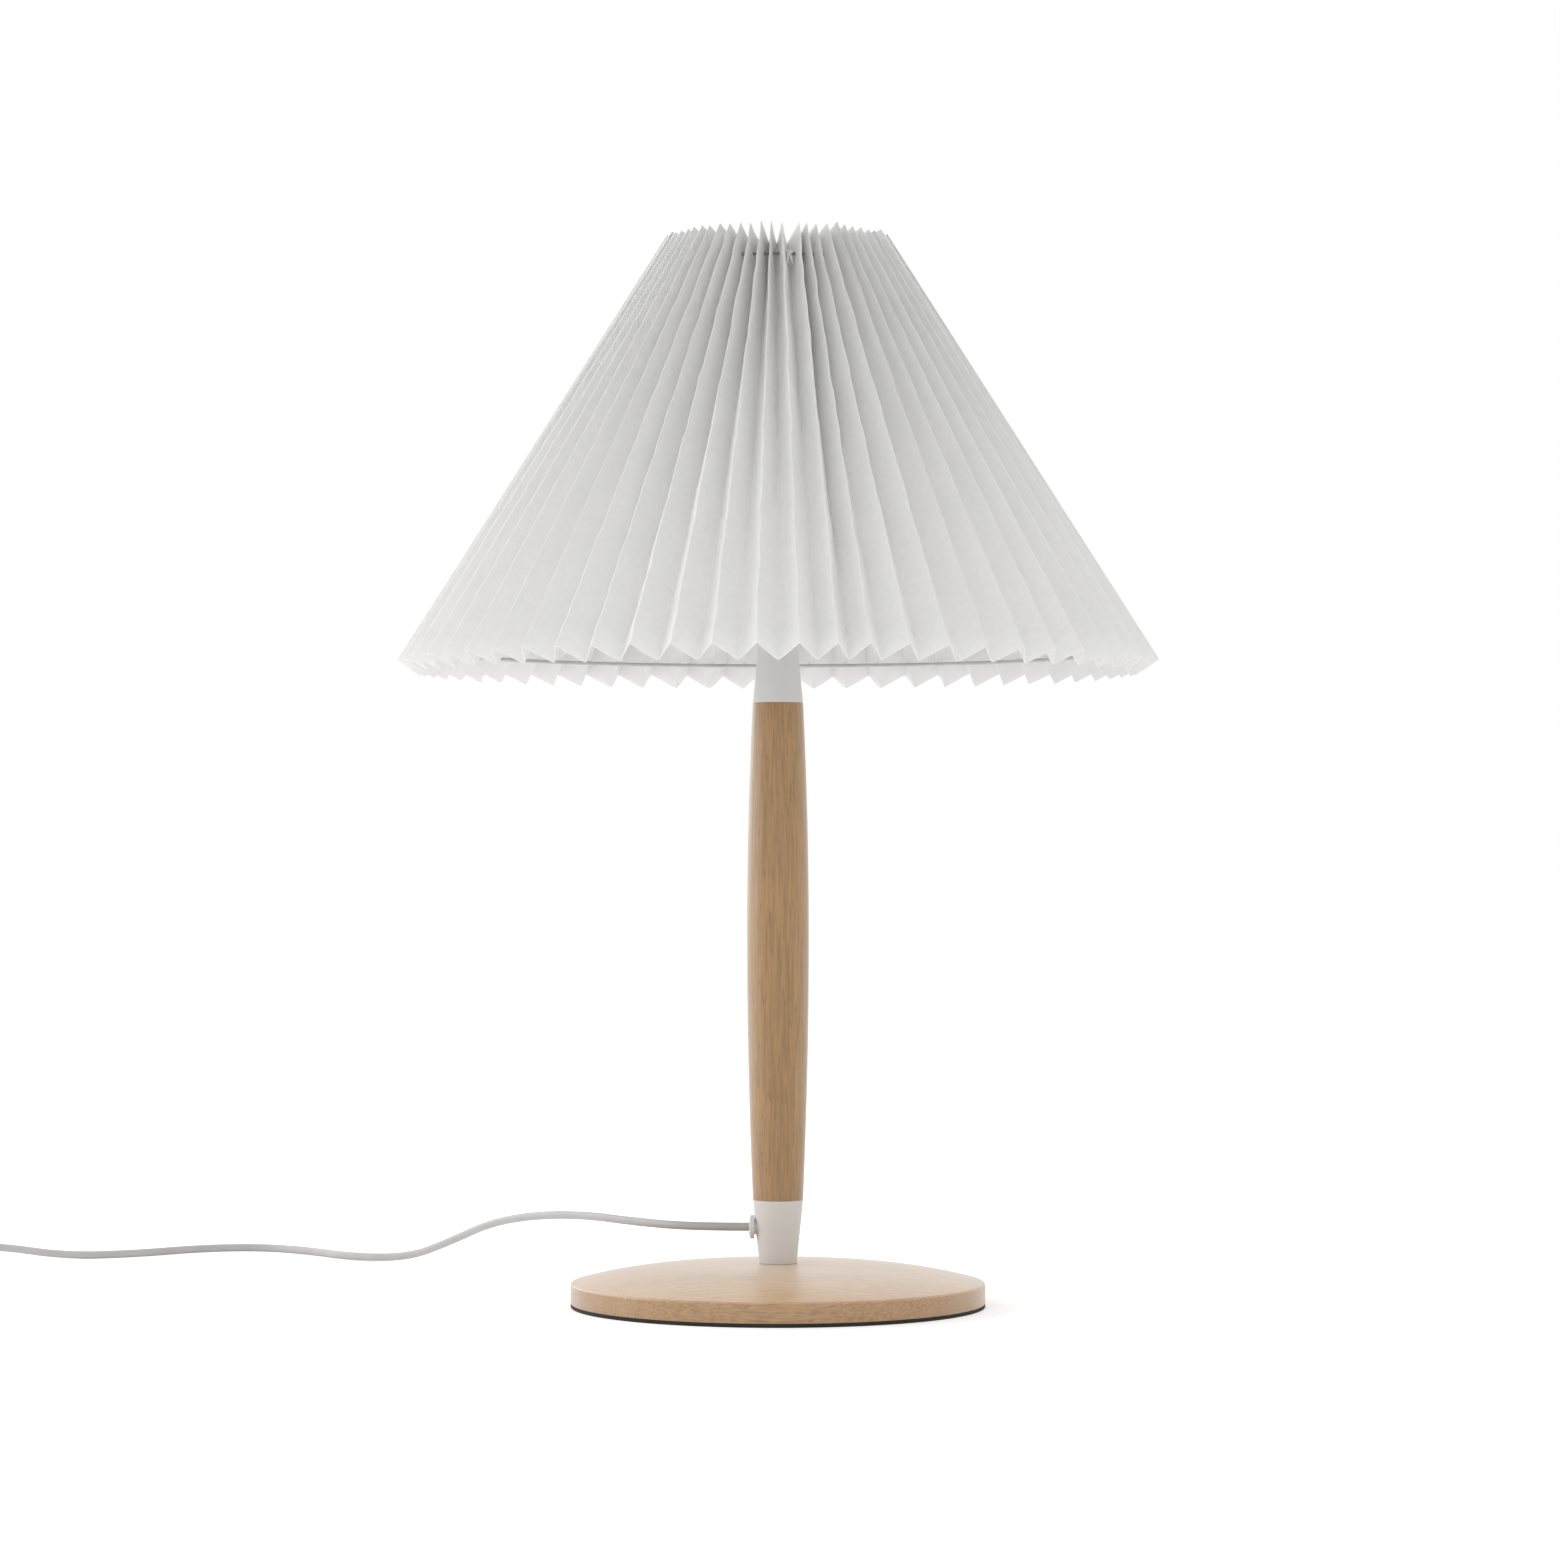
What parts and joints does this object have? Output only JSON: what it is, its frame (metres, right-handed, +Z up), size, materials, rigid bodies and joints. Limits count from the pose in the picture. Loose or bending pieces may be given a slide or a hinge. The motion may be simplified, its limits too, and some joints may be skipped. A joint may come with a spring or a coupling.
{
  "type": "pleated paper table lamp",
  "caption": "Table lamp with a conical pleated paper shade on a wire frame, a turned wooden stem between metal collars, a domed wooden base and a corded inline switch.",
  "frame": {"origin": "centre of the base pad's underside, on the surface that the lamp stands on", "axes": "+Z up along the stem, the cord leaves the lower collar towards -X, the lamp is seen from -Y"},
  "size_m": [0.8811, 0.528, 0.5628],
  "materials": {
    "turned_wood": "satin oiled, fine straight grain",
    "pad": "matt closed-cell foam",
    "ballast": "zinc plated",
    "rod": "zinc plated thread",
    "white_metal": "satin powder coat",
    "gland": "satin",
    "holder": "satin moulded",
    "insert": "unglazed",
    "shell_metal": "bright drawn",
    "core_insulation": "smooth insulation",
    "paper": "matt white laminated paper",
    "string": "twisted cord",
    "frame_wire": "white coated wire",
    "bulb_glass": "frosted",
    "bulb_plastic": "smooth moulded",
    "bulb_metal": "bright rolled",
    "cord_pvc": "smooth white jacket",
    "switch_plastic": "moulded",
    "screw_steel": "zinc plated"
  },
  "bodies": {
    "lamp": {"base_disc": "turned_wood", "stem": "turned_wood", "base_pad": "pad", "ballast_disc": "ballast", "base_washer": "ballast", "base_nut": "ballast", "base_nipple": "rod", "stem_tube": "rod", "lower_collar": "white_metal", "upper_collar": "white_metal", "cord_gland": "gland", "holder_cap": "holder", "holder_shell": "holder", "holder_insert": "insert", "screw_shell": "shell_metal", "centre_contact": "shell_metal", "wire_terminals": "shell_metal", "plug_pins": "shell_metal", "supply_cores": "core_insulation", "cord_run": "cord_pvc", "cord_link": "cord_pvc", "cord_coil": "cord_pvc", "cord_tail": "cord_pvc", "switch_base": "switch_plastic", "switch_cover": "switch_plastic", "plug_body": "switch_plastic", "switch_screws": "screw_steel"},
    "shade": {"pleated_shade": "paper", "gather_string": "string", "top_ring": "frame_wire", "bottom_ring": "frame_wire", "frame_struts": "frame_wire", "fitter_ring": "frame_wire", "fitter_spokes": "frame_wire"},
    "shade_ring": {"shade_ring": "holder"},
    "bulb": {"bulb_contact": "bulb_metal", "bulb_cap": "bulb_metal", "bulb_housing": "bulb_plastic", "bulb_globe": "bulb_glass"},
    "switch_rocker": {"switch_rocker": "switch_plastic"}
  },
  "joints": [
    {"name": "shade_turn", "type": "hinge", "parent": "lamp", "child": "shade", "pos_m": [0, 0, 0.3774], "axis": [0, 0, 1], "continuous": true},
    {"name": "shade_ring_turn", "type": "hinge", "parent": "lamp", "child": "shade_ring", "pos_m": [0, 0, 0.382], "axis": [0, 0, 1], "continuous": true},
    {"name": "bulb_out", "type": "slide", "parent": "lamp", "child": "bulb", "axis": [0, 0, 1], "range_m": [0, 0.026]},
    {"name": "switch_rock", "type": "hinge", "parent": "lamp", "child": "switch_rocker", "pos_m": [-0.514, 0.283, 0.0126], "axis": [0, -1, 0], "range_deg": [0, 16]}
  ]
}
